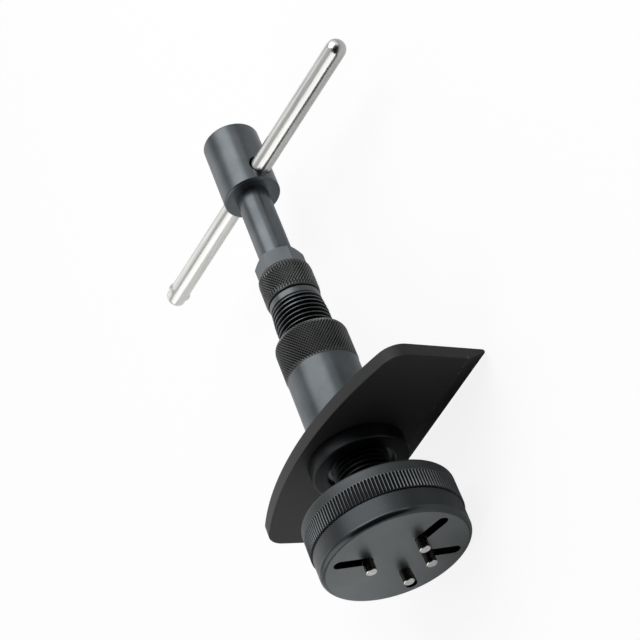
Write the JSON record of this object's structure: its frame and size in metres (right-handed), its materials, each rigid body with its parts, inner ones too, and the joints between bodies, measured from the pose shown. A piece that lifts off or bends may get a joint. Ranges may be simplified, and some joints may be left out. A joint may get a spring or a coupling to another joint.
{
  "type": "brake caliper piston tool",
  "caption": "Hand tool for winding back brake caliper pistons: T-bar spindle in a hollow thrust screw, knurled nut sleeve, reaction plate and an adapter disc with adjustable drive pins.",
  "frame": {"origin": "centre of the adapter's face, on the tool's axis", "axes": "+X along the tool's axis from the adapter's face to the T-head, +Z away from the straight edge of the reaction plate, Y along the plate's length"},
  "size_m": [0.206, 0.1468, 0.0563],
  "materials": {
    "black_paint": "satin black paint, worn along the straight edge",
    "black_oxide_steel": "satin black oxide",
    "adapter_steel": "matt black oxide",
    "bearing_steel": "ground",
    "spring_steel": "plain",
    "cage_brass": "pressed",
    "plated_steel": "bright nickel plate",
    "polished_steel": "polished"
  },
  "bodies": {
    "plate": {"reaction_plate": "black_paint"},
    "sleeve": {"nut_sleeve": "black_oxide_steel", "plate_retaining_ring": "black_oxide_steel"},
    "feed": {"thrust_ball_cage": "cage_brass", "thrust_balls": "bearing_steel"},
    "screw": {"thrust_screw": "black_oxide_steel", "thrust_race_upper": "bearing_steel"},
    "spindle": {"spindle": "black_oxide_steel", "spindle_circlip": "spring_steel", "thrust_race_lower": "bearing_steel", "face_plate": "adapter_steel", "hub_pin": "spring_steel", "spring_washer": "spring_steel", "ring_circlip": "spring_steel"},
    "bar": {"t_bar": "plated_steel"},
    "ring": {"adjuster_ring": "adapter_steel"},
    "pin_1": {"drive_pin_1": "polished_steel"},
    "pin_2": {"drive_pin_2": "polished_steel"},
    "pin_3": {"drive_pin_3": "polished_steel"},
    "pin_4": {"drive_pin_4": "polished_steel"}
  },
  "joints": [
    {"name": "plate_swivel", "type": "hinge", "parent": "plate", "child": "sleeve", "pos_m": [0.0468, 0, 0], "axis": [1, 0, 0], "continuous": true},
    {"name": "screw_feed", "type": "slide", "parent": "sleeve", "child": "feed", "axis": [-1, 0, 0], "range_m": [-0.009, 0.012]},
    {"name": "screw_turn", "type": "hinge", "parent": "feed", "child": "screw", "pos_m": [0.1, 0, 0], "axis": [-1, 0, 0], "range_deg": [-1630, 2170]},
    {"name": "spindle_turn", "type": "hinge", "parent": "feed", "child": "spindle", "pos_m": [0.1, 0, 0], "axis": [-1, 0, 0], "continuous": true},
    {"name": "bar_slide", "type": "slide", "parent": "spindle", "child": "bar", "axis": [0, 0.9976, 0.0698], "range_m": [-0.049, 0.055]},
    {"name": "ring_turn", "type": "hinge", "parent": "spindle", "child": "ring", "pos_m": [0.015, 0, 0], "axis": [1, 0, 0], "range_deg": [0, 95]},
    {"name": "pin_1_slide", "type": "slide", "parent": "spindle", "child": "pin_1", "axis": [0, -0.1908, -0.9816], "range_m": [0, 0.0104]},
    {"name": "pin_2_slide", "type": "slide", "parent": "spindle", "child": "pin_2", "axis": [0, 0.7547, -0.6561], "range_m": [0, 0.0104]},
    {"name": "pin_3_slide", "type": "slide", "parent": "spindle", "child": "pin_3", "axis": [0, 0.1908, 0.9816], "range_m": [0, 0.0104]},
    {"name": "pin_4_slide", "type": "slide", "parent": "spindle", "child": "pin_4", "axis": [0, -0.9455, -0.3256], "range_m": [0, 0.0104]}
  ],
  "couplings": [
    {"joint": "screw_turn", "follows": "screw_feed", "rad_per_m": 3141.6},
    {"joint": "pin_1_slide", "follows": "ring_turn", "m_per_rad": 0.0062121},
    {"joint": "pin_2_slide", "follows": "ring_turn", "m_per_rad": 0.0062121},
    {"joint": "pin_3_slide", "follows": "ring_turn", "m_per_rad": 0.0062121},
    {"joint": "pin_4_slide", "follows": "ring_turn", "m_per_rad": 0.0062121}
  ]
}
